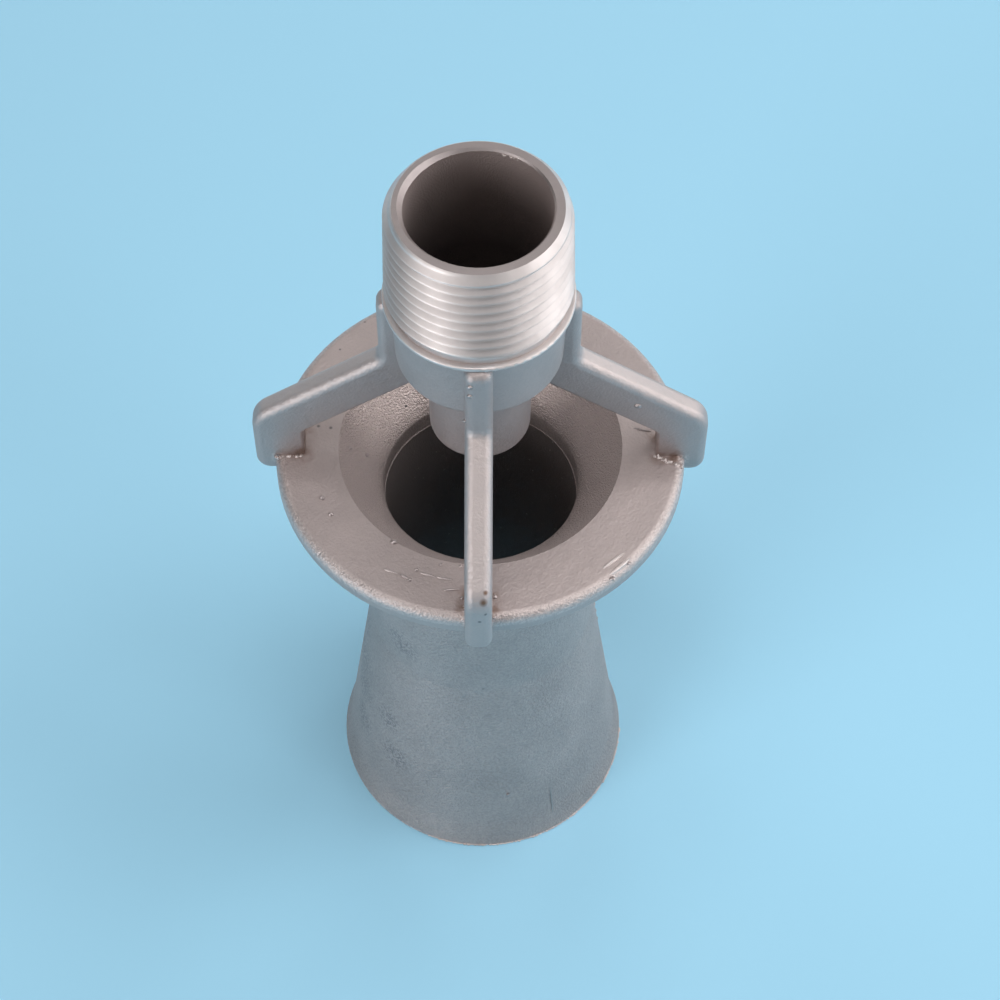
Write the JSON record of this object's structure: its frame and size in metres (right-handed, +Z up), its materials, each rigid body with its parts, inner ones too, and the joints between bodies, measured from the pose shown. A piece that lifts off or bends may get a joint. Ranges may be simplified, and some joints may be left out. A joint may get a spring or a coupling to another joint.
{
  "type": "tank mixing eductor",
  "caption": "Cast steel mixing eductor: threaded nozzle held by ribs over a flanged bell mouth, throat and conical diffuser.",
  "frame": {"origin": "centre of the diffuser's outlet face, which the part stands on", "axes": "+Z up the part's axis towards the threaded inlet, +X and +Y through ribs, -Y towards the picture's viewer"},
  "size_m": [0.0686, 0.0686, 0.1438],
  "materials": {
    "cast_steel": "blasted investment casting, matt, with the thread machined"
  },
  "bodies": {
    "root": {"eductor_casting": "cast_steel"}
  },
  "joints": []
}
